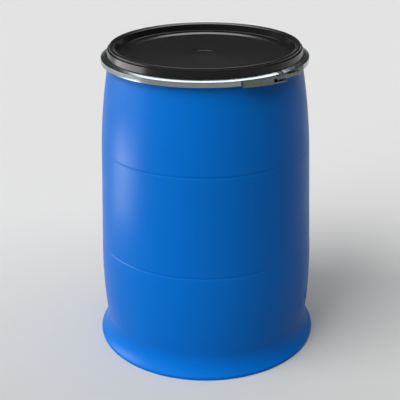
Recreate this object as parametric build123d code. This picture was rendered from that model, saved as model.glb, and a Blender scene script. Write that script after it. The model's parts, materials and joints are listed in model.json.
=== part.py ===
from build123d import *
import os
from math import cos, degrees, radians, sin

# Open head plastic drum with a plug-in lid and a lever-lock clamp ring. Millimetres, +Z up.
# Origin: on the drum's axis at the floor. The front of the drum faces -Y.
# Bearings round the drum are degrees from the front (-Y) towards +X.

# ---------------------------------------------------------------- driving sizes: drum body
overall_height = 736.0        # floor to the crest of the fitted lid
foot_radius = 270.8           # edge of the moulded foot flange
foot_edge_height = 9.0        # top of the flange's edge
foot_fillet_height = 60.0     # where the flare of the foot meets the barrel
waist_radius = 252.2          # barrel just above the foot flare
belly_radius = 258.5          # widest part of the barrel
belly_height = 168.0
lower_crease_radius = 256.4
lower_crease_height = 261.0
upper_crease_radius = 247.1
upper_crease_height = 501.0
shoulder_bulge = 3.0          # how far the shoulder arc stands off its chord
neck_set_in = 13.6            # outside of the neck, in from the ring's outer face
neck_below_ring = 13.0        # straight neck that shows below the clamp ring
body_wall = 3.2
neck_wall = 6.0
collar_wall = 3.6             # sealing collar above the bead
base_thickness = 4.0
base_lift = 8.0               # the base panel's height off the floor
foot_ring_width = 30.67       # solid ring that the drum stands on
foot_ring_draft = 5.33        # slope of the ring's inner side
foot_edge_round = 2.0         # bottom corner of the flange's edge
foot_edge_draft = 1.2         # its top corner
flare_share = 0.42            # the flare's middle point, from the waist to the foot
flare_rise = 13.0             # and above the top of the edge
base_corner_radius = 26.0     # inside corner between base and barrel
crease_width = 7.0
crease_depth = 0.9
pad_proud = 0.9               # blank moulded pads stand this far out of the barrel
pad_bearings = (64.0, 74.0)
pad_height = 122.0
round_pad_radius = 14.0
tall_pad_size = (17.0, 32.0)
bead_side_gap = 2.3           # clamping bead off the inside of the band
bead_thickness = 6.5

# ---------------------------------------------------------------- driving sizes: clamp ring
ring_radius = 239.0           # outer face of the closed band
ring_drop = 36.0              # underside of the band below the lid's crest
band_web_height = 11.5        # upright outer face of the band
band_thickness = 1.2
top_lip_reach = 11.6          # the sloping top lip, in from the outer face
top_lip_rise = 4.5
bottom_lip_reach = 10.0       # the flat bottom lip, in from the outer face
band_corner = 0.6             # outer corners of the band
gap_bearing = 43.2            # middle of the split in the band
gap_width = 16.7
back_bearing = gap_bearing + 180.0
seat_clearance = 0.3          # lid, bead and band from each other

# ---------------------------------------------------------------- driving sizes: lid
lid_wall = 2.6
flange_side_gap = 1.9         # lid flange off the inside of the band
rim_wall_gap = 2.8            # rim wall in from the ring's top lip, where it leaves the ring
rim_wall_draft = 1.2          # the rim wall leans in this far up to its shoulder
rim_shoulder_drop = 5.6       # shoulder below the crest
rim_shoulder_width = 3.8      # ledge of the shoulder
crest_width = 13.1
crest_round = 4.0
inner_wall_draft = 5.5        # the rim's inner wall leans in this far down to its foot
shelf_drop = 17.0             # shelf below the crest
shelf_width = 19.0
step_width = 8.0              # step from the shelf down to the panel
panel_step = 3.0
panel_dish = 2.5              # the panel sinks this far to its middle
centre_mark_radius = 25.0
centre_mark_depth = 0.8
edge_round = 1.0              # small corners of the lid
inner_corner = 2.0            # corners under the lid
gasket_height = 4.2
gasket_width = 5.4
gasket_gap = 0.2              # gasket off the lid
collar_gap = 0.1              # gasket off the collar

# ---------------------------------------------------------------- driving sizes: closure
sheet = 1.5                   # sheet thickness of lever and brackets
closure_height = 14.6         # lever from flange to flange
closure_rise = 5.3            # middle of the closure above the band's underside
layer_gap = 0.3               # between lever flange, ear and link, up the pivot
link_side_gap = 0.5           # link off each ear
link_thickness = 2.5
link_eye_wall = 1.6
pivot_before_gap = 0.834      # the pivot, along the ring from the middle of the split
link_eye_gap = 0.368          # the link's eye off the bracket plate, lever closed
pivot_arm = 18.0              # from the lever's pivot to the link's rivet
over_centre = 10.0            # degrees that the closed arm lies past the line of pull
lever_reach = 102.2           # lever tip, along the ring from the middle of the split
lever_tip_stand_off = 5.2
lever_inner_gap = 1.0         # lever off the band
lever_bow = 1.6               # outer face stands this far off a straight taper
lever_mouth = 0.8             # the open inner side is cut this deep
ear_end_gap = 0.5             # ear off the inside of the lever's round end
window_reach = 32.9           # how far the slot for the link runs along the lever
window_side_gap = 0.4         # slot off the link, above and below
pivot_clearing = 4.84         # the lever's inside is open from here to its pivot end
rivet_radius = 2.0
rivet_head_overhang = 1.4     # head beyond the shank
plate_head_overhang = 1.0     # and on the small plate rivets
plate_rivet_head = 0.8         # inner head, inwards of the band
inner_head_gap = 0.2
rivet_stand_out = 1.0         # outer head, outwards of the plate
rivet_head = 1.2
fit = 0.05                    # radial running fit of a rivet in its hole
weld_gap = 0.05               # bracket plate off the band
ear_wall = 2.5                # sheet round the hole in an ear
ear_shoulder = 1.5            # the hinge ear's straight side ends this far outside the pivot
hinge_ear_foot = 14.2         # foot of the hinge ear along the ring
anchor_ear_foot = 10.0        # half the foot of the anchor ear
hinge_plate_start = 40.5      # distances along the ring from the middle of the split, before it
hinge_plate_end = 9.6
hinge_rivets_before = (36.3, 28.8)
anchor_after = 50.06          # and past it
anchor_stand_off = 6.2
anchor_plate_start = 28.8
anchor_plate_end = 87.6
anchor_rivets_after = (66.3, 79.7)
hook_clearance = 1.5          # the hook's free play behind the anchor pin
hook_play = 0.4               # and outside it
hook_return = 0.3             # the hook's tip turns in this far past the pin's middle
link_run_out = 4.3            # straight run past the rivet before the link bends
joggle_start = 29.2           # distance before the anchor where the link steps outward
joggle_rise = 0.6
joggle_end = 5.0              # distance before the anchor where the step ends
link_bends = (20.0, 8.0, 8.0, 2.0)
cut_past = 3.0                # cutting tools run this far past what they cut

# ---------------------------------------------------------------- sizes that follow
ring_bottom = overall_height - ring_drop
ring_inner_face = ring_radius - band_thickness
neck_radius = ring_radius - neck_set_in
neck_foot = ring_bottom - neck_below_ring
bead_radius = ring_inner_face - bead_side_gap
top_lip_radius = ring_radius - top_lip_reach
bottom_lip_radius = ring_radius - bottom_lip_reach
lid_flange_radius = ring_inner_face - flange_side_gap
rim_wall_radius = top_lip_radius - rim_wall_gap
rim_shoulder_radius = rim_wall_radius - rim_wall_draft
crest_radius = rim_shoulder_radius - rim_shoulder_width
crest_inner_radius = crest_radius - crest_width
rim_base_radius = crest_inner_radius - inner_wall_draft
step_radius = rim_base_radius - shelf_width
panel_radius = step_radius - step_width
band_web_top = ring_bottom + band_web_height
lip_slope = top_lip_rise / top_lip_reach
bead_bottom = ring_bottom + band_thickness + seat_clearance
bead_top = bead_bottom + bead_thickness
crest_height = overall_height
shelf_height = crest_height - shelf_drop
panel_height = shelf_height - panel_step
gasket_top = crest_height - lid_wall - gasket_gap
gasket_bottom = gasket_top - gasket_height
collar_top = gasket_bottom - collar_gap
rim_channel_radius = crest_radius - lid_wall          # outer wall of the channel under the crest
collar_foot_radius = rim_shoulder_radius - lid_wall - seat_clearance
collar_tip_radius = rim_channel_radius - seat_clearance
collar_step = crest_height - rim_shoulder_drop - lid_wall - seat_clearance
closure_middle = ring_bottom + closure_rise
plate_half_height = closure_height / 2 - sheet - layer_gap
link_half_height = plate_half_height - sheet - link_side_gap
window_half_height = link_half_height + window_side_gap
lever_tip_radius = ring_radius + lever_tip_stand_off
lever_inner_radius = ring_radius + lever_inner_gap
anchor_radius = ring_radius + anchor_stand_off
rivet_head_radius = rivet_radius + rivet_head_overhang
ear_round = rivet_radius + ear_wall
lever_end_round = ear_round + ear_end_gap + sheet
lever_bottom = closure_middle - closure_height / 2
lever_top = closure_middle + closure_height / 2
plate_inner_radius = ring_radius + weld_gap
plate_outer_radius = plate_inner_radius + sheet
arm_along = pivot_arm * cos(radians(over_centre))
arm_inward = pivot_arm * sin(radians(over_centre))
link_pivot_radius = plate_outer_radius + link_eye_gap + link_eye_wall + rivet_radius
pivot_radius = (link_pivot_radius ** 2 - arm_along ** 2) ** 0.5 + arm_inward
lever_end_radius = pivot_radius + lever_end_round

FULL_TURN = 360.0


def turn_of(distance):
    """Degrees round the ring that a distance along it takes."""
    return degrees(distance / ring_radius)


gap_half_angle = turn_of(gap_width / 2)
pivot_bearing = gap_bearing - turn_of(pivot_before_gap)
lever_tip_bearing = gap_bearing - turn_of(lever_reach)
anchor_bearing = gap_bearing + turn_of(anchor_after)
hinge_rivet_bearings = [gap_bearing - turn_of(distance) for distance in hinge_rivets_before]
anchor_rivet_bearings = [gap_bearing + turn_of(distance) for distance in anchor_rivets_after]


def on_ring(bearing, radius):
    """Plan point at a bearing round the drum."""
    angle = radians(bearing)
    return Vector(radius * sin(angle), -radius * cos(angle))


def tangent_at(bearing):
    """Unit vector along the ring, towards larger bearings."""
    angle = radians(bearing)
    return Vector(cos(angle), sin(angle))


def outward_at(bearing):
    """Unit vector away from the drum's axis."""
    angle = radians(bearing)
    return Vector(sin(angle), -cos(angle))


def revolved(edges, arc=FULL_TURN, start=0.0):
    """Solid of revolution of a closed outline drawn as (radius, height)."""
    outline = Plane.XZ * make_face(edges)
    solid = revolve(outline, axis=Axis.Z, revolution_arc=arc)
    return Rot(0, 0, start) * solid


def slab(outline, bottom, top):
    """Plan outline raised from one height to another."""
    return Pos(0, 0, bottom) * extrude(outline, amount=top - bottom)


def upright_cylinder(centre, radius, bottom, top):
    """Vertical cylinder between two heights."""
    return Pos(centre.X, centre.Y, (bottom + top) / 2) * Cylinder(radius, top - bottom)


def ring_sector(inner, outer, bearing_from, bearing_to):
    """Plan outline of a strip that follows the ring."""
    middle = (bearing_from + bearing_to) / 2
    edges = [
        ThreePointArc(on_ring(bearing_from, outer), on_ring(middle, outer), on_ring(bearing_to, outer)),
        Line(on_ring(bearing_to, outer), on_ring(bearing_to, inner)),
        ThreePointArc(on_ring(bearing_to, inner), on_ring(middle, inner), on_ring(bearing_from, inner)),
        Line(on_ring(bearing_from, inner), on_ring(bearing_from, outer)),
    ]
    return make_face(edges)


lever_pivot = on_ring(pivot_bearing, pivot_radius)
link_pivot = lever_pivot - tangent_at(pivot_bearing) * arm_along - outward_at(pivot_bearing) * arm_inward
anchor = on_ring(anchor_bearing, anchor_radius)


# ---------------------------------------------------------------- drum body
def crease_notch(radius, height, slope):
    """Shallow V groove round the barrel, as a ring to cut away."""
    half = crease_width / 2
    edges = Polyline(
        (radius + slope * half + cut_past, height - half),
        (radius + slope * half, height - half),
        (radius - crease_depth, height),
        (radius - slope * half, height + half),
        (radius - slope * half + cut_past, height + half),
        close=True,
    )
    return revolved(edges)


def barrel_outline(inset):
    """Right-hand half of the barrel, from its waist to the neck, set in by a wall."""
    shoulder_middle_radius = (neck_radius + upper_crease_radius) / 2 + shoulder_bulge
    shoulder_middle_height = (neck_foot + upper_crease_height) / 2
    shoulder = ThreePointArc(
        (upper_crease_radius - inset, upper_crease_height),
        (shoulder_middle_radius - inset, shoulder_middle_height),
        (neck_radius - inset, neck_foot),
    )
    middle = Line(
        (lower_crease_radius - inset, lower_crease_height),
        (upper_crease_radius - inset, upper_crease_height),
    )
    belly = ThreePointArc(
        (waist_radius - inset, foot_fillet_height),
        (belly_radius - inset, belly_height),
        (lower_crease_radius - inset, lower_crease_height),
    )
    return [belly, middle, shoulder]


def drum_outer():
    """Closed outside shape of the drum, as one solid."""
    flat = foot_radius - foot_edge_round
    edge_top = foot_radius - foot_edge_draft
    flare_height = foot_edge_height + flare_rise
    flare_radius = waist_radius + flare_share * (foot_radius - waist_radius)
    edges = [
        Line((0, 0), (flat, 0)),
        ThreePointArc((flat, 0), (foot_radius, foot_edge_height / 2), (edge_top, foot_edge_height)),
        ThreePointArc((edge_top, foot_edge_height), (flare_radius, flare_height),
                      (waist_radius, foot_fillet_height)),
        *barrel_outline(0.0),
        Line((neck_radius, neck_foot), (neck_radius, bead_bottom)),
        Line((neck_radius, bead_bottom), (bead_radius, bead_bottom)),
        Line((bead_radius, bead_bottom), (bead_radius, bead_top)),
        Line((bead_radius, bead_top), (collar_foot_radius, bead_top)),
        Line((collar_foot_radius, bead_top), (collar_tip_radius, collar_step)),
        Line((collar_tip_radius, collar_step), (collar_tip_radius, collar_top)),
        Line((collar_tip_radius, collar_top), (0, collar_top)),
        Line((0, collar_top), (0, 0)),
    ]
    return revolved(edges)


def drum_cavity():
    """Hollow inside of the drum, open at the top."""
    floor_height = base_lift + base_thickness
    waist = waist_radius - body_wall
    corner_middle = base_corner_radius * cos(radians(45))
    corner_centre = (waist - base_corner_radius, floor_height + base_corner_radius)
    neck_inner = neck_radius - neck_wall
    collar_inner = collar_tip_radius - collar_wall
    edges = [
        Line((0, floor_height), (corner_centre[0], floor_height)),
        ThreePointArc((corner_centre[0], floor_height),
                      (corner_centre[0] + corner_middle, corner_centre[1] - corner_middle),
                      (waist, corner_centre[1])),
        Line((waist, corner_centre[1]), (waist, foot_fillet_height)),
        *barrel_outline(body_wall),
        Line((neck_radius - body_wall, neck_foot), (neck_inner, bead_bottom)),
        Line((neck_inner, bead_bottom), (collar_inner, collar_top)),
        Line((collar_inner, collar_top), (0, collar_top)),
        Line((0, collar_top), (0, floor_height)),
    ]
    return revolved(edges)


def base_recess():
    """Space under the base panel, inside the foot ring."""
    rim = foot_radius - foot_ring_width
    edges = Polyline(
        (0, -cut_past), (rim, -cut_past), (rim, 0), (rim - foot_ring_draft, base_lift), (0, base_lift),
        close=True,
    )
    return revolved(edges)


def barrel_radius(height):
    """Outside radius of the barrel's belly at a height, from the arc through its three stations."""
    belly = ThreePointArc(
        (waist_radius, foot_fillet_height), (belly_radius, belly_height),
        (lower_crease_radius, lower_crease_height),
    )
    centre = belly.arc_center
    return centre.X + (belly.radius ** 2 - (height - centre.Y) ** 2) ** 0.5


def moulded_pads():
    """Two blank raised pads low on the right of the barrel."""
    face = barrel_radius(pad_height) + pad_proud
    depth = pad_proud + body_wall / 2
    round_pad = Cylinder(round_pad_radius, depth, rotation=(90, 0, 0))
    tall_pad = Box(tall_pad_size[0], depth, tall_pad_size[1])
    pads = []
    for bearing, shape in zip(pad_bearings, (round_pad, tall_pad)):
        pads.append(Rot(0, 0, bearing) * Pos(0, -(face - depth / 2), pad_height) * shape)
    return pads


def make_drum_body():
    """Blow moulded drum: base, barrel, neck bead and sealing collar."""
    slope = (lower_crease_radius - upper_crease_radius) / (upper_crease_height - lower_crease_height)
    shell = drum_outer() - drum_cavity() - base_recess()
    shell = shell - crease_notch(lower_crease_radius, lower_crease_height, slope / 2)
    shell = shell - crease_notch(upper_crease_radius, upper_crease_height, slope)
    for pad in moulded_pads():
        shell = shell + pad
    return shell


# ---------------------------------------------------------------- lid
def lid_top_outline():
    """Outer surface of the lid from the flange edge over the crest to its centre."""
    shoulder = crest_height - rim_shoulder_drop
    flange_top = band_web_top - band_thickness * (1 + lip_slope ** 2) ** 0.5 - seat_clearance
    edge_top = flange_top + (ring_radius - lid_flange_radius) * lip_slope
    wall_foot = flange_top + (ring_radius - rim_wall_radius - edge_round) * lip_slope
    wall = rim_wall_radius + edge_round
    mark = centre_mark_radius
    dish_at_mark = panel_height - panel_dish
    return [
        Line((lid_flange_radius, bead_top + seat_clearance), (lid_flange_radius, edge_top)),
        Line((lid_flange_radius, edge_top), (wall, wall_foot)),
        Line((wall, wall_foot), (rim_shoulder_radius, shoulder - edge_round)),
        Line((rim_shoulder_radius, shoulder - edge_round), (rim_shoulder_radius - edge_round, shoulder)),
        Line((rim_shoulder_radius - edge_round, shoulder), (crest_radius, shoulder)),
        Line((crest_radius, shoulder), (crest_radius, crest_height - crest_round)),
        RadiusArc((crest_radius, crest_height - crest_round),
                  (crest_radius - crest_round, crest_height), -crest_round),
        Line((crest_radius - crest_round, crest_height), (crest_inner_radius + crest_round, crest_height)),
        RadiusArc((crest_inner_radius + crest_round, crest_height),
                  (crest_inner_radius, crest_height - crest_round), -crest_round),
        Line((crest_inner_radius, crest_height - crest_round), (rim_base_radius, shelf_height)),
        Line((rim_base_radius, shelf_height), (step_radius, shelf_height)),
        Line((step_radius, shelf_height), (panel_radius, panel_height)),
        Line((panel_radius, panel_height), (mark + edge_round, dish_at_mark)),
        Line((mark + edge_round, dish_at_mark), (mark, dish_at_mark - centre_mark_depth)),
        Line((mark, dish_at_mark - centre_mark_depth), (0, dish_at_mark - centre_mark_depth)),
    ]


def lid_under_outline():
    """Underside of the lid from its centre out to the flange edge."""
    under_panel = panel_height - panel_dish - centre_mark_depth - lid_wall
    under_crest = crest_height - lid_wall
    under_shoulder = crest_height - rim_shoulder_drop - lid_wall
    inner_side = crest_inner_radius + lid_wall
    skirt_inner = rim_shoulder_radius - lid_wall
    inner_foot = rim_base_radius + lid_wall
    step_foot = panel_radius - inner_corner
    step_head = step_radius - inner_corner
    return [
        Line((0, under_panel), (step_foot, under_panel + panel_dish)),
        Line((step_foot, under_panel + panel_dish), (step_head, shelf_height - lid_wall)),
        Line((step_head, shelf_height - lid_wall), (inner_foot, shelf_height - lid_wall)),
        Line((inner_foot, shelf_height - lid_wall), (inner_side, under_crest - inner_corner)),
        Line((inner_side, under_crest - inner_corner), (inner_side + inner_corner, under_crest)),
        Line((inner_side + inner_corner, under_crest), (rim_channel_radius, under_crest)),
        Line((rim_channel_radius, under_crest), (rim_channel_radius, under_shoulder)),
        Line((rim_channel_radius, under_shoulder), (skirt_inner, bead_top + seat_clearance)),
        Line((skirt_inner, bead_top + seat_clearance), (lid_flange_radius, bead_top + seat_clearance)),
    ]


def make_lid():
    """Moulded lid: raised hollow rim, clamping flange, shelf and dished panel."""
    top = lid_top_outline()
    under = lid_under_outline()
    axis_line = Line(top[-1] @ 1, under[0] @ 0)
    return revolved([*top, axis_line, *under])


def make_lid_gasket():
    """Flat rubber ring in the lid's channel, on the drum's collar."""
    outer = rim_channel_radius - gasket_gap
    inner = outer - gasket_width
    edges = Polyline(
        (inner, gasket_bottom), (outer, gasket_bottom), (outer, gasket_top), (inner, gasket_top),
        close=True,
    )
    return revolved(edges)


# ---------------------------------------------------------------- clamp ring
def band_profile():
    """C section of the rolled band: sloping top lip, upright web, flat bottom lip."""
    lip_drop = band_thickness * (1 + lip_slope ** 2) ** 0.5
    lip_top = band_web_top + top_lip_rise
    web_corner = band_web_top - lip_drop + band_thickness * lip_slope
    corner = ring_radius - band_corner
    return Polyline(
        (top_lip_radius, lip_top),
        (corner, band_web_top + band_corner * lip_slope),
        (ring_radius, band_web_top - band_corner),
        (ring_radius, ring_bottom + band_corner),
        (corner, ring_bottom),
        (bottom_lip_radius, ring_bottom),
        (bottom_lip_radius, ring_bottom + band_thickness),
        (ring_inner_face, ring_bottom + band_thickness),
        (ring_inner_face, web_corner),
        (top_lip_radius, lip_top - lip_drop),
        close=True,
    )


def radial_hole(bearing, height, radius, inner, outer):
    """Cylinder along the outward direction at a bearing."""
    length = outer - inner
    place = Rot(0, 0, bearing) * Pos(0, -(inner + outer) / 2, height)
    return place * Cylinder(radius, length, rotation=(90, 0, 0))


def band_half(start_bearing, arc, rivet_bearings):
    """One half of the band, with the holes for its bracket's rivets."""
    band = revolved(band_profile(), arc=arc, start=start_bearing - 90.0)
    for bearing in rivet_bearings:
        hole = radial_hole(bearing, closure_middle, rivet_radius + fit, ring_inner_face - cut_past,
                           ring_radius + cut_past)
        band = band - hole
    return band


def make_band_left():
    """Band from the back round the left to the split."""
    arc = 180.0 - gap_half_angle
    return band_half(back_bearing - FULL_TURN, arc, hinge_rivet_bearings)


def make_band_right():
    """Band from the split round the right to the back."""
    arc = 180.0 - gap_half_angle
    return band_half(gap_bearing + gap_half_angle, arc, anchor_rivet_bearings)


# ---------------------------------------------------------------- closure
def ear_outline(bearing, centre, foot_from, foot_to):
    """Plan outline of an ear that stands out from its plate and holds a rivet."""
    across = tangent_at(bearing) * ear_round
    tip = centre + outward_at(bearing) * ear_round
    edges = [
        Line(on_ring(foot_from, plate_inner_radius), centre - across),
        ThreePointArc(centre - across, tip, centre + across),
        Line(centre + across, on_ring(foot_to, plate_inner_radius)),
        Line(on_ring(foot_to, plate_inner_radius), on_ring(foot_from, plate_inner_radius)),
    ]
    return make_face(edges)


def make_bracket(plate_from, plate_to, ear, hole_centre, rivet_bearings):
    """Plate on the band with two bent ears, one above the other."""
    bottom = closure_middle - plate_half_height
    top = closure_middle + plate_half_height
    bracket = slab(ring_sector(plate_inner_radius, plate_outer_radius, plate_from, plate_to), bottom, top)
    bracket = bracket + slab(ear, bottom, bottom + sheet) + slab(ear, top - sheet, top)
    low = bottom - cut_past
    high = top + cut_past
    bracket = bracket - upright_cylinder(hole_centre, rivet_radius + fit, low, high)
    bracket = bracket - upright_cylinder(Vector(0, 0), plate_inner_radius, low, high)
    for bearing in rivet_bearings:
        hole = radial_hole(bearing, closure_middle, rivet_radius + fit, ring_radius - cut_past,
                           plate_outer_radius + cut_past)
        bracket = bracket - hole
    return bracket


def hinge_ear():
    """Ear that reaches over the split to the lever's pivot."""
    across = tangent_at(pivot_bearing) * ear_round
    side = lever_pivot - across + outward_at(pivot_bearing) * ear_shoulder
    foot_to = gap_bearing - turn_of(hinge_plate_end)
    foot_from = foot_to - turn_of(hinge_ear_foot)
    edges = [
        Line(on_ring(foot_from, plate_inner_radius), side),
        ThreePointArc(side, lever_pivot + outward_at(pivot_bearing) * ear_round, lever_pivot + across),
        Line(lever_pivot + across, on_ring(foot_to, plate_inner_radius)),
        Line(on_ring(foot_to, plate_inner_radius), on_ring(foot_from, plate_inner_radius)),
    ]
    return make_face(edges)


def make_hinge_bracket():
    """Bracket on the left end of the band that carries the lever."""
    start = gap_bearing - turn_of(hinge_plate_start)
    stop = gap_bearing - turn_of(hinge_plate_end)
    return make_bracket(start, stop, hinge_ear(), lever_pivot, hinge_rivet_bearings)


def make_anchor_bracket():
    """Bracket on the right end of the band that holds the anchor pin."""
    foot = turn_of(anchor_ear_foot)
    ear = ear_outline(anchor_bearing, anchor, anchor_bearing - foot, anchor_bearing + foot)
    start = gap_bearing + turn_of(anchor_plate_start)
    stop = gap_bearing + turn_of(anchor_plate_end)
    return make_bracket(start, stop, ear, anchor, anchor_rivet_bearings)


def lever_outline(skin, tip_inset):
    """Plan outline of the lever, set in from its outer face by a skin."""
    tip = lever_tip_bearing + tip_inset
    middle = (lever_tip_bearing + pivot_bearing) / 2
    outer_end = pivot_radius + lever_end_round
    middle_radius = (lever_tip_radius + outer_end) / 2 + lever_bow
    outer_start = on_ring(tip, lever_tip_radius - skin)
    outer_stop = on_ring(pivot_bearing, outer_end - skin)
    inner_stop = on_ring(pivot_bearing, pivot_radius - lever_end_round)
    end_middle = lever_pivot + tangent_at(pivot_bearing) * lever_end_round
    edges = [
        ThreePointArc(outer_start, on_ring(middle, middle_radius - skin), outer_stop),
        ThreePointArc(outer_stop, end_middle, inner_stop),
        ThreePointArc(inner_stop, on_ring(middle, lever_inner_radius), on_ring(tip, lever_inner_radius)),
        Line(on_ring(tip, lever_inner_radius), outer_start),
    ]
    return make_face(edges)


def lever_window():
    """Block that opens the lever's face for the link, from the pivot end."""
    near = pivot_bearing + turn_of(lever_end_round + cut_past)
    far = pivot_bearing - turn_of(window_reach)
    outline = ring_sector(lever_inner_radius - cut_past, lever_end_radius + cut_past, far, near)
    return slab(outline, closure_middle - window_half_height, closure_middle + window_half_height)


def make_lever():
    """Channel lever: outer face, two flanges and a closed tip."""
    inside_bottom = lever_bottom + sheet
    inside_top = lever_top - sheet
    lever = slab(lever_outline(0.0, 0.0), lever_bottom, lever_top)
    pocket = slab(lever_outline(sheet, turn_of(sheet)), inside_bottom, inside_top)
    near = pivot_bearing + turn_of(lever_end_round + cut_past)
    inner = lever_inner_radius - cut_past
    tip = lever_tip_bearing + turn_of(sheet)
    inner_opening = ring_sector(inner, lever_inner_radius + lever_mouth, tip, near)
    pivot_end = ring_sector(inner, lever_end_radius + cut_past, pivot_bearing - turn_of(pivot_clearing), near)
    lever = lever - pocket
    lever = lever - slab(inner_opening, inside_bottom, inside_top)
    lever = lever - slab(pivot_end, inside_bottom, inside_top)
    lever = lever - lever_window()
    for centre in (lever_pivot, link_pivot):
        hole = upright_cylinder(centre, rivet_radius + fit, lever_bottom - cut_past, lever_top + cut_past)
        lever = lever - hole
    return lever


def link_path():
    """Middle line of the link from its rivet to the tip of its hook."""
    turn = rivet_radius + hook_clearance + link_thickness / 2
    along = tangent_at(anchor_bearing)
    out = outward_at(anchor_bearing)
    stand_off = rivet_radius + hook_play + link_thickness / 2
    over = anchor + out * stand_off
    points = [
        link_pivot,
        on_ring(pivot_bearing + turn_of(link_run_out), link_pivot.length),
        on_ring(anchor_bearing - turn_of(joggle_start), link_pivot.length + joggle_rise),
        over - along * joggle_end,
        over + along * turn,
        over + along * turn - out * (stand_off + hook_return),
    ]
    return FilletPolyline(*points, radius=list(link_bends))


def make_tension_link():
    """Strap with a rolled eye at the lever and a hook for the anchor pin."""
    bottom = closure_middle - link_half_height
    top = closure_middle + link_half_height
    strip = trace(link_path(), line_width=link_thickness)
    link = slab(strip, bottom, top)
    link = link + upright_cylinder(link_pivot, rivet_radius + link_eye_wall, bottom, top)
    return link - upright_cylinder(link_pivot, rivet_radius + fit, bottom - cut_past, top + cut_past)


def headed_rivet(centre, bottom, top):
    """Rivet through a stack of sheets, with a head at each end."""
    rivet = upright_cylinder(centre, rivet_radius, bottom - rivet_head, top + rivet_head)
    rivet = rivet + upright_cylinder(centre, rivet_head_radius, bottom - rivet_head - fit, bottom - fit)
    return rivet + upright_cylinder(centre, rivet_head_radius, top + fit, top + rivet_head + fit)


def make_lever_pivot_rivets():
    """Two short rivets, one in each ear, so that the link passes between them."""
    ear_bottom = closure_middle - plate_half_height
    ear_top = closure_middle + plate_half_height
    lower = upright_cylinder(lever_pivot, rivet_radius, lever_bottom - rivet_head, ear_bottom + sheet)
    lower = lower + upright_cylinder(lever_pivot, rivet_head_radius, lever_bottom - rivet_head - fit,
                                     lever_bottom - fit)
    upper = upright_cylinder(lever_pivot, rivet_radius, ear_top - sheet, lever_top + rivet_head)
    upper = upper + upright_cylinder(lever_pivot, rivet_head_radius, lever_top + fit,
                                     lever_top + rivet_head + fit)
    return Compound([lower, upper])


def make_link_rivet():
    """Rivet that joins the link to the lever."""
    return headed_rivet(link_pivot, lever_bottom, lever_top)


def make_anchor_pin():
    """Riveted pin that the link's hook pulls on."""
    return headed_rivet(anchor, closure_middle - plate_half_height, closure_middle + plate_half_height)


def plate_rivets(bearings):
    """Rivets that hold a bracket's plate to the band."""
    inner = ring_inner_face - plate_rivet_head
    outer = plate_outer_radius + rivet_stand_out
    head = rivet_radius + plate_head_overhang
    rivets = []
    for bearing in bearings:
        shank = radial_hole(bearing, closure_middle, rivet_radius, inner, outer)
        outer_head = radial_hole(bearing, closure_middle, head, plate_outer_radius + fit, outer)
        inner_head = radial_hole(bearing, closure_middle, head, inner, ring_inner_face - inner_head_gap)
        rivets.append(shank + outer_head + inner_head)
    return Compound(rivets)


def make_hinge_bracket_rivets():
    """Rivets of the lever's bracket."""
    return plate_rivets(hinge_rivet_bearings)


def make_anchor_bracket_rivets():
    """Rivets of the anchor's bracket."""
    return plate_rivets(anchor_rivet_bearings)


PIECES = {
    "drum_body": make_drum_body,
    "lid": make_lid,
    "lid_gasket": make_lid_gasket,
    "clamp_band_left": make_band_left,
    "clamp_band_right": make_band_right,
    "hinge_bracket": make_hinge_bracket,
    "hinge_bracket_rivets": make_hinge_bracket_rivets,
    "anchor_bracket": make_anchor_bracket,
    "anchor_bracket_rivets": make_anchor_bracket_rivets,
    "anchor_pin": make_anchor_pin,
    "lever": make_lever,
    "lever_pivot_rivets": make_lever_pivot_rivets,
    "link_rivet": make_link_rivet,
    "tension_link": make_tension_link,
}

os.makedirs("parts", exist_ok=True)
for node, make in PIECES.items():
    export_step(make(), f"parts/{node}.step")
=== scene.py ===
"""Open head plastic drum with a recessed lid and a lever-lock clamp ring, dressed for a studio view."""

from __future__ import annotations

import json
import logging
import math
from dataclasses import dataclass, field
from enum import Enum

import bmesh
import bpy
from mathutils import Matrix, Vector

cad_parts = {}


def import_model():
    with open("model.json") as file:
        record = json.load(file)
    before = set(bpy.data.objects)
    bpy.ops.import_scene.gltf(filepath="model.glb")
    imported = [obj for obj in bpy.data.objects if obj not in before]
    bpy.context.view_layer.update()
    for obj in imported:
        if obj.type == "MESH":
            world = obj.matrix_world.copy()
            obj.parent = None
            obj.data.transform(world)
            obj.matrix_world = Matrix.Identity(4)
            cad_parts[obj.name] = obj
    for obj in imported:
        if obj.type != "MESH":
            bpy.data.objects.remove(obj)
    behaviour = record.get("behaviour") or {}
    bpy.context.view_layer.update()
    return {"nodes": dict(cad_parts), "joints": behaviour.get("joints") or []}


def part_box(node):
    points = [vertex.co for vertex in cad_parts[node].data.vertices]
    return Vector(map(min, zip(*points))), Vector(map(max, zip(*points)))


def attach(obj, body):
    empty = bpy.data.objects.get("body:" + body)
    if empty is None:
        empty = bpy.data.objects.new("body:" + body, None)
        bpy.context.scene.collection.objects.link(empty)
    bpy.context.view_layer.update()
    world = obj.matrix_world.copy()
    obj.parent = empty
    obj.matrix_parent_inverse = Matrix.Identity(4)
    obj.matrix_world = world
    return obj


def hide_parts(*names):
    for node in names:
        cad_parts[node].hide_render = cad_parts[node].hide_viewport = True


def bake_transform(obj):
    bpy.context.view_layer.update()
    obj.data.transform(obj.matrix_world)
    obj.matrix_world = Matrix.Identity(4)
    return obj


LOG = logging.getLogger("drum")
MM = 0.001
TURN_STEPS = 288
SHARP_ANGLE = 32.0
MERGE_DISTANCE = 1e-7
CORNER_STEPS = 6
CORNER_REACH = 0.48
# The wave node turns 20 radians for each unit of its vector.
WAVE_NODE_RATE = 20.0

Point = tuple[float, float]
Pair = tuple[float, float]
Triple = tuple[float, float, float]


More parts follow.
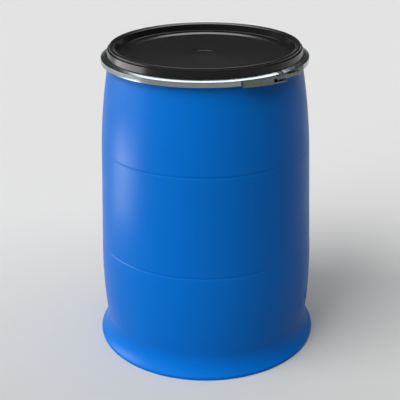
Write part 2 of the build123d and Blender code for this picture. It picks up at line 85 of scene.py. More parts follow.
def linear(hex_colour: str) -> tuple[float, float, float, float]:
    """Turns an sRGB hex colour to the linear colour that a shader reads.

    Args:
        hex_colour: Six hex digits, with or without a leading #.

    Returns:
        Linear red, green, blue and an alpha of 1.
    """
    digits = hex_colour.lstrip("#")
    channels = []
    for start in (0, 2, 4):
        value = int(digits[start:start + 2], 16) / 255
        channels.append(value / 12.92 if value <= 0.04045 else ((value + 0.055) / 1.055) ** 2.4)
    return (channels[0], channels[1], channels[2], 1.0)


def add_node(tree: bpy.types.NodeTree, kind: str, settings: dict | None = None,
             inputs: dict | None = None) -> bpy.types.Node:
    """Adds a node to a tree with its settings and links.

    Args:
        tree: The node tree.
        kind: Blender's name for the node type.
        settings: Attributes to set on the node.
        inputs: Socket name or number to a value, or to the socket that feeds it.

    Returns:
        The new node.
    """
    node = tree.nodes.new(kind)
    for name, value in (settings or {}).items():
        setattr(node, name, value)
    for name, value in (inputs or {}).items():
        if isinstance(value, bpy.types.NodeSocket):
            tree.links.new(value, node.inputs[name])
        else:
            node.inputs[name].default_value = value
    return node


# ---------------------------------------------------------------- finishes
@dataclass(frozen=True)
class Finish:
    """A real material with the process that made its surface."""

    name: str
    colour: str
    roughness: float
    slot: str = ""

    def make(self) -> bpy.types.Material:
        """Builds the material.

        Returns:
            The finished material.
        """
        material = bpy.data.materials.new(self.name)
        material.use_nodes = True
        tree = material.node_tree
        tree.nodes.clear()
        shader = add_node(tree, "ShaderNodeBsdfPrincipled",
                          inputs={"Base Color": linear(self.colour), "Roughness": self.roughness})
        place = add_node(tree, "ShaderNodeTexCoord").outputs["Object"]
        self.dress(tree, shader, place)
        add_node(tree, "ShaderNodeOutputMaterial", inputs={"Surface": shader.outputs[0]})
        return material

    def dress(self, tree: bpy.types.NodeTree, shader: bpy.types.Node,
              place: bpy.types.NodeSocket) -> None:
        """Adds what the surface shows close up; each finish has its own.

        Args:
            tree: The material's nodes.
            shader: Its principled shader.
            place: Position on the piece, in metres.
        """

    def noise(self, tree: bpy.types.NodeTree, place: bpy.types.NodeSocket, size_mm: float,
              detail: float = 2.0) -> bpy.types.NodeSocket:
        """Adds noise of a real size.

        Args:
            tree: The material's nodes.
            place: Position on the piece, in metres.
            size_mm: Size of one lump.
            detail: How many finer layers it has.

        Returns:
            The noise from 0 to 1.
        """
        node = add_node(tree, "ShaderNodeTexNoise",
                        inputs={"Vector": place, "Scale": 1000.0 / size_mm, "Detail": detail})
        return node.outputs["Fac"]

    def spread(self, tree: bpy.types.NodeTree, value: bpy.types.NodeSocket, low: float,
               high: float, start: float = 0.3, stop: float = 0.7) -> bpy.types.NodeSocket:
        """Spreads a value over a new range.

        Args:
            tree: The material's nodes.
            value: What to spread.
            low: Result at the start.
            high: Result at the stop.
            start: Value that gives low.
            stop: Value that gives high.

        Returns:
            The new value.
        """
        node = add_node(tree, "ShaderNodeMapRange", inputs={
            "Value": value, "From Min": start, "From Max": stop, "To Min": low, "To Max": high})
        return node.outputs["Result"]

    def tint(self, tree: bpy.types.NodeTree, amount: bpy.types.NodeSocket,
             other: str) -> bpy.types.NodeSocket:
        """Mixes the finish's colour with another.

        Args:
            tree: The material's nodes.
            amount: How much of the other colour.
            other: The other colour, as sRGB hex.

        Returns:
            The mixed colour.
        """
        node = add_node(tree, "ShaderNodeMix", {"data_type": "RGBA"})
        tree.links.new(amount, node.inputs[0])
        node.inputs[6].default_value = linear(self.colour)
        node.inputs[7].default_value = linear(other)
        return node.outputs[2]

    def bump(self, tree: bpy.types.NodeTree, height: bpy.types.NodeSocket, depth_mm: float,
             under: bpy.types.NodeSocket | None = None) -> bpy.types.NodeSocket:
        """Turns a height to a shading normal.

        Args:
            tree: The material's nodes.
            height: Height from 0 to 1.
            depth_mm: Real depth of the relief.
            under: Normal of the relief below it.

        Returns:
            The normal.
        """
        inputs = {"Height": height, "Distance": depth_mm * MM, "Strength": 1.0}
        if under is not None:
            inputs["Normal"] = under
        return add_node(tree, "ShaderNodeBump", inputs=inputs).outputs["Normal"]


@dataclass(frozen=True)
class BlowMouldedPolyethylene(Finish):
    """Blue HDPE blown against a blasted mould: a satin skin, softly uneven, with a parting line."""

    handled: str = "0577D6"
    patch_mm: float = 120.0
    rub_mm: float = 60.0
    wave_mm: float = 70.0
    wave_depth: float = 0.16
    peel_mm: float = 5.0
    peel_depth: float = 0.008
    parting_edges: Pair = (0.2, 1.1)
    parting_depth: float = 0.25

    def dress(self, tree: bpy.types.NodeTree, shader: bpy.types.Node,
              place: bpy.types.NodeSocket) -> None:
        """Adds the skin's waviness, its fine peel, rubbed patches and the mould's parting line.

        Args:
            tree: The material's nodes.
            shader: Its principled shader.
            place: Position on the piece, in metres.
        """
        patches = self.noise(tree, place, self.patch_mm, 3.0)
        colour = self.tint(tree, self.spread(tree, patches, 0.0, 0.22), self.handled)
        tree.links.new(colour, shader.inputs["Base Color"])
        # Roughness keeps above 0.27: ranges at or across it rendered with twice the dark islands or more.
        rubbed = self.noise(tree, place, self.rub_mm, 2.0)
        tree.links.new(self.spread(tree, rubbed, self.roughness - 0.02, self.roughness + 0.04),
                       shader.inputs["Roughness"])
        # The parison cools unevenly, so the wall waves gently and highlights wander at their edges.
        waves = self.bump(tree, self.noise(tree, place, self.wave_mm, 1.0), self.wave_depth)
        # Orange peel from the blasted mould is about 3 mm across; it is drawn at 5 mm so that it shows.
        peel = self.bump(tree, self.noise(tree, place, self.peel_mm, 0.0), self.peel_depth, waves)
        # The two mould halves meet on the drum's sides and leave a fine raised line.
        split = add_node(tree, "ShaderNodeSeparateXYZ", inputs={0: place})
        off = add_node(tree, "ShaderNodeMath", {"operation": "ABSOLUTE"}, {0: split.outputs["Y"]})
        edges = [edge * MM for edge in self.parting_edges]
        line = self.spread(tree, off.outputs[0], 1.0, 0.0, *edges)
        tree.links.new(self.bump(tree, line, self.parting_depth, peel), shader.inputs["Normal"])
        shader.inputs["IOR"].default_value = 1.51
        # The level is well under polyethylene's own: a pale floor otherwise gives a violet sheen.
        shader.inputs["Specular IOR Level"].default_value = 0.1


@dataclass(frozen=True)
class MouldedBlackPolyethylene(Finish):
    """Black HDPE pressed in a fine grained mould: dark, semi-gloss, greying slightly where dusty."""

    dust: str = "1B1B1E"
    film_mm: float = 60.0
    grain_mm: float = 2.2
    grain_depth: float = 0.008
    turning_radian_mm: float = 3.5
    turning_depth: float = 0.004

    def dress(self, tree: bpy.types.NodeTree, shader: bpy.types.Node,
              place: bpy.types.NodeSocket) -> None:
        """Adds fine grain, faint turning marks of the mould and a little dust.

        Args:
            tree: The material's nodes.
            shader: Its principled shader.
            place: Position on the piece, in metres.
        """
        film = self.spread(tree, self.noise(tree, place, self.film_mm, 4.0), 0.0, 0.35)
        tree.links.new(self.tint(tree, film, self.dust), shader.inputs["Base Color"])
        # Real mould grain is under a millimetre; it is drawn at 2.2 mm so that it shows.
        grain = self.noise(tree, place, self.grain_mm, 3.0)
        tree.links.new(self.spread(tree, grain, self.roughness - 0.02, self.roughness + 0.04),
                       shader.inputs["Roughness"])
        # Real turning marks are under a millimetre apart; these repeat every 22 mm, so that they show.
        rate = 1000.0 / self.turning_radian_mm / WAVE_NODE_RATE
        rings = add_node(tree, "ShaderNodeTexWave", {"wave_type": "RINGS", "rings_direction": "Z"},
                         {"Vector": place, "Scale": rate, "Distortion": 0.0})
        turned = self.bump(tree, rings.outputs["Fac"], self.turning_depth)
        tree.links.new(self.bump(tree, grain, self.grain_depth, turned), shader.inputs["Normal"])
        shader.inputs["IOR"].default_value = 1.5


@dataclass(frozen=True)
class GalvanisedStrip(Finish):
    """Hot dip galvanised strip, roll formed: bright zinc with a faint spangle and drawn streaks."""

    spangle: str = "949CA2"
    crystal_mm: float = 7.0
    streak_mm: float = 14.0
    streak_stretch: float = 12.0
    streak_depth: float = 0.0015

    def dress(self, tree: bpy.types.NodeTree, shader: bpy.types.Node,
              place: bpy.types.NodeSocket) -> None:
        """Adds the zinc's crystals and the forming rolls' fine streaks.

        Args:
            tree: The material's nodes.
            shader: Its principled shader.
            place: Position on the piece, in metres.
        """
        shader.inputs["Metallic"].default_value = 1.0
        # Real spangle is 3 to 10 mm; it is drawn at 7 mm so that it shows on the narrow band.
        crystals = add_node(tree, "ShaderNodeTexVoronoi",
                            inputs={"Vector": place, "Scale": 1000.0 / self.crystal_mm})
        tone = add_node(tree, "ShaderNodeSeparateColor", inputs={0: crystals.outputs["Color"]})
        shade = self.spread(tree, tone.outputs[0], 0.0, 0.8, 0.0, 1.0)
        tree.links.new(self.tint(tree, shade, self.spangle), shader.inputs["Base Color"])
        tree.links.new(self.spread(tree, tone.outputs[1], self.roughness - 0.02,
                                   self.roughness + 0.03, 0.0, 1.0), shader.inputs["Roughness"])
        # The rolls' streaks are 14 mm long and a twelfth of that high, coarser than real ones.
        flow = add_node(tree, "ShaderNodeMapping", inputs={
            "Vector": place, "Scale": (1, 1, self.streak_stretch)})
        streaks = self.noise(tree, flow.outputs[0], self.streak_mm, 3.0)
        tree.links.new(self.bump(tree, streaks, self.streak_depth), shader.inputs["Normal"])


@dataclass(frozen=True)
class PressedZincSheet(Finish):
    """Zinc plated sheet, blanked and pressed: a duller grey with darker handling marks at random."""

    handled: str = "666C6A"
    mark_mm: float = 9.0
    scratch_mm: float = 1.6
    scratch_depth: float = 0.002

    def dress(self, tree: bpy.types.NodeTree, shader: bpy.types.Node,
              place: bpy.types.NodeSocket) -> None:
        """Adds handling marks and fine scratches.

        Args:
            tree: The material's nodes.
            shader: Its principled shader.
            place: Position on the piece, in metres.
        """
        shader.inputs["Metallic"].default_value = 1.0
        marks = self.noise(tree, place, self.mark_mm, 4.0)
        tree.links.new(self.tint(tree, self.spread(tree, marks, 0.0, 0.7), self.handled),
                       shader.inputs["Base Color"])
        # Real scratches are finer; they are drawn at 1.6 mm so that they show.
        fine = self.noise(tree, place, self.scratch_mm, 3.0)
        tree.links.new(self.spread(tree, fine, self.roughness - 0.04, self.roughness + 0.08),
                       shader.inputs["Roughness"])
        tree.links.new(self.bump(tree, fine, self.scratch_depth), shader.inputs["Normal"])


@dataclass(frozen=True)
class MouldedRubber(Finish):
    """Moulded EPDM rubber: matt black with a slightly dusty skin."""

    dust: str = "2E2E2D"
    skin_mm: float = 1.5
    skin_depth: float = 0.02

    def dress(self, tree: bpy.types.NodeTree, shader: bpy.types.Node,
              place: bpy.types.NodeSocket) -> None:
        """Adds a matt, slightly pitted skin.

        Args:
            tree: The material's nodes.
            shader: Its principled shader.
            place: Position on the piece, in metres.
        """
        skin = self.noise(tree, place, self.skin_mm, 4.0)
        tree.links.new(self.tint(tree, self.spread(tree, skin, 0.0, 0.5), self.dust),
                       shader.inputs["Base Color"])
        tree.links.new(self.bump(tree, skin, self.skin_depth), shader.inputs["Normal"])


@dataclass(frozen=True)
class StudioPaper(Finish):
    """Matt paper floor: pale where seen or mirrored, with painted shade that darkens it towards the front,
    a weaker source of fill.
    """

    fill: str = "8C8C8C"
    painted_front_shade: str = "C6C7C4"
    shading_reach: float = 0.7

    def dress(self, tree: bpy.types.NodeTree, shader: bpy.types.Node,
              place: bpy.types.NodeSocket) -> None:
        """Paints shade on the paper, darker towards the front, and makes it greyer as a source of fill
        light.

        Args:
            tree: The material's nodes.
            shader: Its principled shader.
            place: Position on the piece, in metres.
        """
        split = add_node(tree, "ShaderNodeSeparateXYZ", inputs={0: place})
        # Painted shade: the paper's colour darkens towards the front and stands in for the light falling
        # off there.
        depth = self.spread(tree, split.outputs["Y"], 1.0, 0.0,
                            -self.shading_reach, self.shading_reach)
        paper = self.tint(tree, depth, self.painted_front_shade)
        path = add_node(tree, "ShaderNodeLightPath")
        seen = add_node(tree, "ShaderNodeMath", {"operation": "ADD", "use_clamp": True},
                        {0: path.outputs["Is Camera Ray"], 1: path.outputs["Is Glossy Ray"]})
        shown = add_node(tree, "ShaderNodeMath", {"operation": "ADD", "use_clamp": True},
                         {0: seen.outputs[0], 1: path.outputs["Is Transmission Ray"]})
        hidden = add_node(tree, "ShaderNodeMath", {"operation": "SUBTRACT"},
                          {0: 1.0, 1: shown.outputs[0]})
        sheet = add_node(tree, "ShaderNodeMix", {"data_type": "RGBA"}, {
            0: hidden.outputs[0], 6: paper, 7: linear(self.fill)})
        tree.links.new(sheet.outputs[2], shader.inputs["Base Color"])
        shader.inputs["Specular IOR Level"].default_value = 0.0


class Surface(Enum):
    """The drum's finishes, one for each kind of surface."""

    SHELL = BlowMouldedPolyethylene("blow_moulded_hdpe_blue", "006FD1", 0.35, "drum_plastic")
    LID = MouldedBlackPolyethylene("pressed_hdpe_black", "0F0F11", 0.21, "lid_plastic")
    BAND = GalvanisedStrip("hot_dip_galvanised_strip", "9FA7AC", 0.21, "ring_steel")
    CLOSURE = PressedZincSheet("zinc_plated_pressed_sheet", "7C8280", 0.34, "closure_steel")
    RIVET = PressedZincSheet("zinc_plated_rivet", "8A8F8E", 0.36, "rivet_steel")
    GASKET = MouldedRubber("moulded_epdm_rubber", "1D1D1C", 0.75, "gasket_rubber")


@dataclass
class Paint:
    """Holds each finish's material, made once."""

    made: dict[str, bpy.types.Material] = field(default_factory=dict)

    def coat(self, piece: bpy.types.Object, surface: Surface) -> None:
        """Gives a piece its finish.

        Args:
            piece: The mesh object.
            surface: Which finish.
        """
        if surface.name not in self.made:
            self.made[surface.name] = surface.value.make()
        piece.data.materials.clear()
        piece.data.materials.append(self.made[surface.name])


# ---------------------------------------------------------------- outlines
def arc(start: Point, middle: Point, stop: Point, steps: int = 24) -> list[Point]:
    """Samples the circle through three points.

    Args:
        start: First point.
        middle: A point between.
        stop: Last point.
        steps: Number of runs.

    Returns:
        The points from start to stop.
    """
    (ax, ay), (bx, by), (cx, cy) = start, middle, stop
    d = 2 * (ax * (by - cy) + bx * (cy - ay) + cx * (ay - by))
    a2, b2, c2 = ax * ax + ay * ay, bx * bx + by * by, cx * cx + cy * cy
    ox = (a2 * (by - cy) + b2 * (cy - ay) + c2 * (ay - by)) / d
    oy = (a2 * (cx - bx) + b2 * (ax - cx) + c2 * (bx - ax)) / d
    radius = math.hypot(ax - ox, ay - oy)
    first = math.atan2(ay - oy, ax - ox)
    sweep = (math.atan2(cy - oy, cx - ox) - first + math.pi) % (2 * math.pi) - math.pi
    return [(ox + radius * math.cos(first + sweep * k / steps),
             oy + radius * math.sin(first + sweep * k / steps)) for k in range(steps + 1)]


def rounded(corners: list[Triple], closed: bool = False) -> list[Point]:
    """Rounds the corners of an outline.

    Args:
        corners: Radius, height and rounding of each corner.
        closed: Whether the last corner joins the first.

    Returns:
        The outline's points.
    """
    points: list[Point] = []
    count = len(corners)
    for k, (x, y, bend) in enumerate(corners):
        if bend <= 0 or (not closed and k in (0, count - 1)):
            points.append((x, y))
            continue
        here = Vector((x, y))
        back = Vector(corners[k - 1][:2]) - here
        ahead = Vector(corners[(k + 1) % count][:2]) - here
        half = back.angle(ahead) / 2
        reach = min(bend / math.tan(half), CORNER_REACH * back.length, CORNER_REACH * ahead.length)
        bend = reach * math.tan(half)
        centre = here + (back.normalized() + ahead.normalized()).normalized() * (bend / math.sin(half))
        first = here + back.normalized() * reach
        last = here + ahead.normalized() * reach
        middle = centre + (here - centre).normalized() * bend
        points.extend(arc(tuple(first), tuple(middle), tuple(last), CORNER_STEPS))
    return points


@dataclass
class Lathe:
    """Turns an outline round the drum's axis into a mesh."""

    name: str
    outline: list[Point]
    closed: bool = False
    start: float = 0.0
    sweep: float = 360.0
    steps: int = TURN_STEPS

    def spin(self) -> bpy.types.Object:
        """Builds the mesh.

        Returns:
            The new object, in metres.
        """
        whole = self.sweep >= 360.0
        turns = self.steps if whole else self.steps + 1
        count = len(self.outline)
        vertices, faces = [], []
        for turn in range(turns):
            angle = math.radians(self.start + self.sweep * turn / self.steps)
            for radius, height in self.outline:
                vertices.append((radius * MM * math.sin(angle), -radius * MM * math.cos(angle),
                                 height * MM))
        rows = count if self.closed else count - 1
        for turn in range(self.steps):
            here, there = turn * count, ((turn + 1) % turns) * count
            for row in range(rows):
                after = (row + 1) % count
                faces.append((here + row, there + row, there + after, here + after))
        if not whole:
            faces.append(tuple(range(count)))
            faces.append(tuple(reversed(range((turns - 1) * count, turns * count))))
        return mesh_object(self.name, vertices, faces)


def mesh_object(name: str, vertices: list, faces: list) -> bpy.types.Object:
    """Makes a smooth shaded object from its vertices and faces.

    Args:
        name: The piece's name.
        vertices: Corners, in metres.
        faces: Corner numbers of each face.

    Returns:
        The new object, linked to the scene.
    """
    mesh = bpy.data.meshes.new(name)
    mesh.from_pydata(vertices, [], faces)
    shape = bmesh.new()
    shape.from_mesh(mesh)
    bmesh.ops.remove_doubles(shape, verts=shape.verts, dist=MERGE_DISTANCE)
    bmesh.ops.recalc_face_normals(shape, faces=shape.faces)
    shape.to_mesh(mesh)
    shape.free()
    mesh.polygons.foreach_set("use_smooth", [True] * len(mesh.polygons))
    mesh.set_sharp_from_angle(angle=math.radians(SHARP_ANGLE))
    made = bpy.data.objects.new(name, mesh)
    bpy.context.scene.collection.objects.link(made)
    return made


# ---------------------------------------------------------------- sub-assemblies
@dataclass
class DrumShell:
    """The blow moulded drum: foot, barrel, creases, shoulder, neck, bead and collar."""

    paint: Paint
    crest: float
    foot_radius: float = 270.8
    foot_edge: float = 9.0
    foot_edge_draft: float = 1.2
    sole_inset: float = 2.0
    sole_inner_radius: float = 240.13
    recess_radius: float = 234.8
    recess_height: float = 8.0
    inner_floor: float = 12.0
    inner_corner: Point = (249.0, 55.0)
    inner_corner_round: float = 26.0
    waist: Point = (252.2, 60.0)
    flare_middle: Point = (260.012, 22.0)
    belly: Point = (258.5, 168.0)
    lower_crease: Point = (256.4, 261.0)
    upper_crease: Point = (247.1, 501.0)
    crease_width: float = 7.0
    crease_depth: float = 0.9
    shoulder_bulge: float = 3.0
    neck_radius: float = 225.4
    neck_below_crest: float = 49.0
    bead_radius: float = 235.5
    bead_below_crest: Pair = (34.5, 28.0)
    bead_root_radius: float = 220.5
    collar_radii: Pair = (213.1, 216.7)
    collar_below_crest: Pair = (8.5, 7.1)
    throat_radius: float = 219.4
    wall: float = 3.2
    pad_height: float = 122.0
    pad_proud: float = 0.9
    pad_edge_drop: float = 1.44
    pad_flat_share: float = 0.86

    def crease(self, at: Point, slope: float) -> list[Triple]:
        """Gives the corners of one shallow groove round the barrel.

        Args:
            at: Radius and height of its middle.
            slope: How far the barrel narrows for each unit of height.

        Returns:
            The groove's corners from bottom to top.
        """
        radius, height = at
        half = self.crease_width / 2
        return [(radius + slope * half, height - half, 2.0),
                (radius - self.crease_depth, height, 1.2),
                (radius - slope * half, height + half, 2.0)]

    def shoulder(self, inset: float) -> list[Point]:
        """Gives the curve from the upper crease to the neck.

        Args:
            inset: Distance in from the outer face.

        Returns:
            The curve's points.
        """
        foot = self.crest - self.neck_below_crest
        x = (self.neck_radius + self.upper_crease[0]) / 2 + self.shoulder_bulge - inset
        return arc((self.upper_crease[0] - inset, self.upper_crease[1]),
                   (x, (foot + self.upper_crease[1]) / 2), (self.neck_radius - inset, foot), 30)

    def outline(self) -> list[Point]:
        """Gives the drum's whole section, from under the base round to the inside floor.

        Returns:
            The section's points.
        """
        bead, bead_top = (self.crest - drop for drop in self.bead_below_crest)
        collar_foot, collar = (self.crest - drop for drop in self.collar_below_crest)
        inside, outside = self.collar_radii
        sole, edge = self.foot_radius - self.sole_inset, self.foot_radius - self.foot_edge_draft
        slope = (self.lower_crease[0] - self.upper_crease[0]) / (
            self.upper_crease[1] - self.lower_crease[1])
        outer = rounded([(0, self.recess_height, 0), (self.recess_radius, self.recess_height, 2.0),
                         (self.sole_inner_radius, 0, 1.5), (sole, 0, 0)])
        outer += arc((sole, 0), (self.foot_radius, self.foot_edge / 2), (edge, self.foot_edge), 12)
        outer += arc((edge, self.foot_edge), self.flare_middle, self.waist, 30)[1:]
        belly = arc(self.waist, self.belly, self.lower_crease, 60)[1:]
        low, high = self.lower_crease[1] - self.crease_width, self.upper_crease[1] + self.crease_width
        outer += [p for p in belly if p[1] < low]
        corners = self.crease(self.lower_crease, slope / 2) + self.crease(self.upper_crease, slope)
        outer += rounded([(*outer[-1], 0), *corners, (*self.shoulder(0)[3], 0)])[1:]
        outer += [p for p in self.shoulder(0)[4:] if p[1] > high]
        neck = self.crest - self.neck_below_crest
        outer += rounded([
            (self.neck_radius, neck, 0), (self.neck_radius, bead, 2.0), (self.bead_radius, bead, 1.6),
            (self.bead_radius, bead_top, 1.6), (self.bead_root_radius, bead_top, 1.0),
            (outside, collar_foot, 1.0), (outside, collar, 0.9), (inside, collar, 0.9),
            (self.throat_radius, bead, 3.0), (self.neck_radius - self.wall, neck, 0)])[1:]
        outer += list(reversed(self.shoulder(self.wall)))[1:]
        barrel = [(radius - self.wall, height) for radius, height in
                  (self.waist, self.belly, self.lower_crease)]
        outer += list(reversed(arc(*barrel, 30)))
        corner, start = self.inner_corner
        outer += rounded([(corner, start, 0), (corner, self.inner_floor, self.inner_corner_round),
                          (0, self.inner_floor, 0)])
        return outer

    def barrel_radius(self, height: float) -> float:
        """Gives the barrel's outside radius at a height on its belly."""
        points = arc(self.waist, self.belly, self.lower_crease, 200)
        return min(points, key=lambda p: abs(p[1] - height))[0]

    def pad(self, name: str, bearing: float, half_width: float, half_height: float,
            power: float) -> bpy.types.Object:
        """Builds one blank raised pad with soft edges.

        Args:
            name: The piece's name.
            bearing: Degrees round the drum from its front.
            half_width: Half its width, in millimetres.
            half_height: Half its height, in millimetres.
            power: 2 for a round pad, more for a squarer one.

        Returns:
            The pad.
        """
        steps, rings = 72, 14
        face = self.barrel_radius(self.pad_height) + self.pad_proud
        vertices, faces = [], []
        for ring in range(rings + 1):
            share = ring / rings
            past = max(0.0, share - self.pad_flat_share) / (1 - self.pad_flat_share)
            deep = face - self.pad_edge_drop * past ** 2
            for step in range(steps):
                angle = 2 * math.pi * step / steps
                c, s = math.cos(angle), math.sin(angle)
                u = share * half_width * math.copysign(abs(c) ** (2 / power), c)
                v = share * half_height * math.copysign(abs(s) ** (2 / power), s)
                vertices.append((u * MM, -deep * MM, (self.pad_height + v) * MM))
        for ring in range(rings):
            for step in range(steps):
                after = (step + 1) % steps
                faces.append((ring * steps + step, ring * steps + after,
                              (ring + 1) * steps + after, (ring + 1) * steps + step))
        made = mesh_object(name, vertices, faces)
        made.data.transform(Matrix.Rotation(math.radians(bearing), 4, "Z"))
        return made

    def build(self) -> None:
        """Builds the shell and its pads and sets them on their body."""
        shell = Lathe("drum_shell_skin", self.outline()).spin()
        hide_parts("drum_body")
        pads = [self.pad("round_pad", bearing=64.0, half_width=14.0, half_height=14.0, power=2.0),
                self.pad("tall_pad", bearing=74.0, half_width=8.5, half_height=16.0, power=7.0)]
        for piece in (shell, *pads):
            self.paint.coat(piece, Surface.SHELL)
            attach(piece, "drum_shell")
            LOG.info("built %s, %d faces", piece.name, len(piece.data.polygons))


@dataclass
class DrumLid:
    """The pressed lid: raised hollow rim, clamping flange, shelf, step and dished panel."""

    paint: Paint
    crest: float
    crest_radii: Pair = (206.5, 219.6)
    crest_rounds: Pair = (4.0, 4.0)
    crest_ridge: float = 214.5
    crest_slope: float = 2.5
    crest_shoulder: float = 0.2
    mark_radii: Pair = (25.0, 26.0)
    mark_depth: float = 23.3
    panel_middle_depth: float = 22.5
    panel_edge: Point = (174.0, 20.0)
    shelf_radii: Pair = (182.0, 201.0)
    shelf_depth: float = 17.0
    ledge: Point = (222.4, 5.6)
    ledge_chamfer: float = 1.0
    skirt_foot: Point = (225.6, 20.89)
    flange_radius: float = 235.9
    flange_depths: Pair = (24.885, 27.7)
    seat_radius: float = 220.8
    rim_inside_radius: float = 217.0
    rim_inside_depths: Pair = (8.2, 2.6)
    under_wall_radii: Pair = (209.1, 203.6)
    under_shelf: Point = (180.0, 19.6)
    under_step: Point = (172.0, 23.4)
    under_middle_depth: float = 25.9

    def outline(self) -> list[Point]:
        """Gives the lid's whole section, from the centre over the rim and back underneath.

        Returns:
            The section's points.
        """
        top = self.crest
        inner, outer = self.crest_radii
        inside, outside = self.crest_rounds
        mark_edge, panel_start = self.mark_radii
        ledge, ledge_depth = self.ledge
        bevel = self.ledge_chamfer
        flange_top, flange_bottom = self.flange_depths
        rim_foot, rim_top = self.rim_inside_depths
        wall_top, wall_foot = self.under_wall_radii
        corners = [
            (0, self.mark_depth, 0), (mark_edge, self.mark_depth, 0.5),
            (panel_start, self.panel_middle_depth, 0.5), (*self.panel_edge, 2.0),
            (self.shelf_radii[0], self.shelf_depth, 1.6), (self.shelf_radii[1], self.shelf_depth, 1.8),
            (inner, self.crest_slope, inside), (self.crest_ridge, 0, 3.0),
            (outer, self.crest_shoulder, outside), (outer, ledge_depth, 0.5),
            (ledge, ledge_depth, 0.4), (ledge + bevel, ledge_depth + bevel, 0.4),
            (*self.skirt_foot, 1.2), (self.flange_radius, flange_top, 0.8),
            (self.flange_radius, flange_bottom, 0.6), (self.seat_radius, flange_bottom, 0.6),
            (self.rim_inside_radius, rim_foot, 0.5), (self.rim_inside_radius, rim_top, 0.6),
            (wall_top, rim_top, 1.5), (wall_foot, self.under_shelf[1], 1.0),
            (*self.under_shelf, 1.0), (*self.under_step, 1.0), (0, self.under_middle_depth, 0)]
        return rounded([(radius, top - depth, bend) for radius, depth, bend in corners])

    def build(self) -> None:
        """Builds the lid and sets it on its body."""
        lid = Lathe("lid_moulding", self.outline()).spin()
        self.paint.coat(lid, Surface.LID)
        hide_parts("lid")
        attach(lid, "lid_assembly")
        LOG.info("built %s, %d faces", lid.name, len(lid.data.polygons))


@dataclass
class ClampBand:
    """The rolled band: one C section strip from one side of the split round to the other."""

    paint: Paint
    bottom: float
    back: Vector
    radius: float = 239.0
    web: float = 11.5
    gauge: float = 1.2
    top_reach: float = 11.6
    top_rise: float = 4.5
    bottom_reach: float = 10.0
    split_width: float = 16.7
    flex_half_width: float = 6.0

    def outline(self) -> list[Point]:
        """Gives the strip's C section.

        Returns:
            The section's points.
        """
        slope = self.top_rise / self.top_reach
        drop = self.gauge * math.hypot(1, slope)
        web_top = self.bottom + self.web
        inner = self.radius - self.gauge
        tip = self.radius - self.top_reach
        foot = self.radius - self.bottom_reach
        return rounded([
            (tip, web_top + self.top_rise, 0.35), (self.radius, web_top, 1.1),
            (self.radius, self.bottom, 1.1), (foot, self.bottom, 0.4),
            (foot, self.bottom + self.gauge, 0.4), (inner, self.bottom + self.gauge, 0.5),
            (inner, web_top - drop + self.gauge * slope, 0.5),
            (tip, web_top + self.top_rise - drop, 0.35)], closed=True)

    def build(self) -> None:
        """Builds the band with its split opposite the ring's flex point at the back."""
        half = math.degrees(self.split_width / 2 / self.radius)
        back = math.atan2(self.back.x, -self.back.y)
        band = Lathe("clamp_band_strip", self.outline(), True, math.degrees(back) - 180 + half,
                     360.0 - 2 * half, 360).spin()
        self.paint.coat(band, Surface.BAND)
        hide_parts("clamp_band_left", "clamp_band_right")
        # Larger bearings past the back belong to the left half, smaller ones to the right half.
        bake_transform(band)
        LOG.info("built %s, %d faces", band.name, len(band.data.polygons))


@dataclass
class Closure:
    """The pieces kept as fitted: lever, link, brackets, rivets, pin and the lid's gasket."""

    paint: Paint
    nodes: dict[str, bpy.types.Object]
    edge_mm: float = 0.25
    edge_angle: float = 40.0
    surfaces: dict[str, Surface] = field(default_factory=lambda: {
        "lever": Surface.CLOSURE, "tension_link": Surface.CLOSURE,
        "hinge_bracket": Surface.CLOSURE, "anchor_bracket": Surface.CLOSURE,
        "hinge_bracket_rivets": Surface.RIVET, "anchor_bracket_rivets": Surface.RIVET,
        "lever_pivot_rivets": Surface.RIVET, "link_rivet": Surface.RIVET,
        "anchor_pin": Surface.RIVET, "lid_gasket": Surface.GASKET})

    def build(self) -> None:
        """Finishes each fitted piece and softens the edges of the metal ones."""
        for name, surface in self.surfaces.items():
            piece = self.nodes[name]
            self.paint.coat(piece, surface)
            if surface is Surface.GASKET:
                continue
            soft = piece.modifiers.new("pressed_edges", "BEVEL")
            soft.width = self.edge_mm * MM
            soft.segments = 2
            soft.limit_method = "ANGLE"
            soft.angle_limit = math.radians(self.edge_angle)
            LOG.info("finished %s", name)


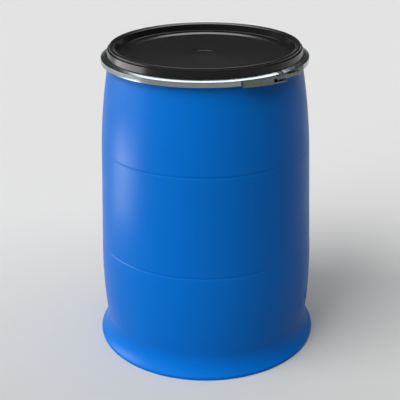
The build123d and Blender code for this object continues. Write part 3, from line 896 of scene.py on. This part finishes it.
# ---------------------------------------------------------------- studio
@dataclass
class Studio:
    """Camera, lights, floor and surroundings."""

    camera_place: Triple = (0.0, -2.0621, 1.2421)
    pitch_down: float = 23.531
    roll: float = -0.38
    lens: float = 82.24
    shift: float = -0.01475
    floor_half: float = 30.0
    paper: StudioPaper = StudioPaper("matt_studio_paper", "E3E3E3", 0.9)

    def camera(self) -> None:
        """Sets the camera on the drum."""
        data = bpy.data.cameras.new("camera")
        data.sensor_width, data.lens, data.shift_x = 36.0, self.lens, self.shift
        made = bpy.data.objects.new("camera", data)
        made.matrix_world = (Matrix.Translation(self.camera_place)
                             @ Matrix.Rotation(math.radians(90 - self.pitch_down), 4, "X")
                             @ Matrix.Rotation(math.radians(self.roll), 4, "Z"))
        bpy.context.scene.collection.objects.link(made)
        bpy.context.scene.camera = made

    def softbox(self, name: str, place: Triple, aim: Triple, size: Pair, power: float) -> None:
        """Adds one rectangular softbox that gives the highlights their shape.

        Args:
            name: The lamp's name.
            place: Where it stands, in metres.
            aim: What it faces.
            size: Its width and height, in metres.
            power: Its power, in watts.
        """
        data = bpy.data.lights.new(name, "AREA")
        data.shape, data.size, data.size_y, data.energy = "RECTANGLE", size[0], size[1], power
        made = bpy.data.objects.new(name, data)
        made.location = place
        made.rotation_mode = "QUATERNION"
        made.rotation_quaternion = (Vector(aim) - Vector(place)).to_track_quat("-Z", "Y")
        made.visible_diffuse = False
        bpy.context.scene.collection.objects.link(made)

    def sky(self, name: str, bearing: float, elevation: float, spread: float, power: float) -> None:
        """Adds one broad far light that shapes the forms but leaves no glint of its own.

        Args:
            name: The lamp's name.
            bearing: Degrees from the drum's front towards its right.
            elevation: Degrees above the floor.
            spread: Apparent width of the light, in degrees.
            power: Its strength, in watts per square metre.
        """
        data = bpy.data.lights.new(name, "SUN")
        data.energy, data.angle = power, math.radians(spread)
        made = bpy.data.objects.new(name, data)
        a, e = math.radians(bearing), math.radians(elevation)
        toward = Vector((math.sin(a) * math.cos(e), -math.cos(a) * math.cos(e), math.sin(e)))
        made.rotation_mode = "QUATERNION"
        made.rotation_quaternion = (-toward).to_track_quat("-Z", "Y")
        made.visible_glossy = False
        bpy.context.scene.collection.objects.link(made)

    def floor(self) -> None:
        """Lays a wide pale paper floor."""
        far = self.floor_half
        corners = [(-far, -far, 0), (far, -far, 0), (far, far, 0), (-far, far, 0)]
        floor = mesh_object("studio_floor", corners, [(0, 1, 2, 3)])
        floor.data.materials.append(self.paper.make())

    def surroundings(self) -> None:
        """Makes the room: pale low down, dark higher up, so that black plastic stays black."""
        world = bpy.data.worlds.new("room")
        bpy.context.scene.world = world
        world.use_nodes = True
        tree = world.node_tree
        tree.nodes.clear()
        aim = add_node(tree, "ShaderNodeTexCoord").outputs["Generated"]
        up = add_node(tree, "ShaderNodeSeparateXYZ", inputs={0: aim}).outputs["Z"]
        # The glow fades between 1 and 10 degrees above the horizon.
        ramp = add_node(tree, "ShaderNodeMapRange", {"interpolation_type": "SMOOTHSTEP"}, {
            "Value": up, "From Min": 0.02, "From Max": 0.18, "To Min": 0.42, "To Max": 0.05})
        glow = add_node(tree, "ShaderNodeBackground", inputs={"Color": (1, 1, 1, 1),
                                                             "Strength": ramp.outputs[0]})
        add_node(tree, "ShaderNodeOutputWorld", inputs={"Surface": glow.outputs[0]})

    def build(self) -> None:
        """Builds the whole studio."""
        self.camera()
        self.floor()
        self.surroundings()
        self.sky("left_window", bearing=-58.0, elevation=35.0, spread=60.0, power=2.75)
        self.sky("ceiling", bearing=-20.0, elevation=84.0, spread=80.0, power=1.4)
        # The side softbox stops below the ring lip's mirror direction, so that only rim and web see it.
        self.softbox("left_softbox", place=(-2.1, 0.15, 0.8), aim=(0, 0, 0.7), size=(1.9, 0.7),
                     power=16.0)
        # The strip stands low and near: a wall seen from above mirrors what is below its own height.
        self.softbox("barrel_strip", place=(-0.79, -0.11, 0.3), aim=(-0.16, -0.19, 0.3), size=(0.42, 0.3),
                     power=3.2)
        # The overhead softbox keeps above 35 degrees behind the drum, so the flat panel doesn't mirror it.
        self.softbox("overhead_softbox", place=(0.05, 1.15, 2.8), aim=(0, 0, 0.7), size=(2.2, 1.6),
                     power=38.0)
        bpy.context.scene.view_settings.view_transform = "Standard"
        LOG.info("built the studio")


def main() -> None:
    """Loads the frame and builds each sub-assembly on it."""
    logging.basicConfig(level=logging.INFO, format="%(name)s: %(message)s")
    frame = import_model()
    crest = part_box("lid")[1].z / MM
    band_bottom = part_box("clamp_band_left")[0].z / MM
    paint = Paint()
    DrumShell(paint, crest).build()
    DrumLid(paint, crest).build()
    spring = next(joint for joint in frame["joints"] if joint["name"] == "ring_flex")
    ClampBand(paint, band_bottom, Vector(spring["pos_m"])).build()
    Closure(paint, frame["nodes"]).build()
    Studio().build()


if __name__ == "__main__":
    main()
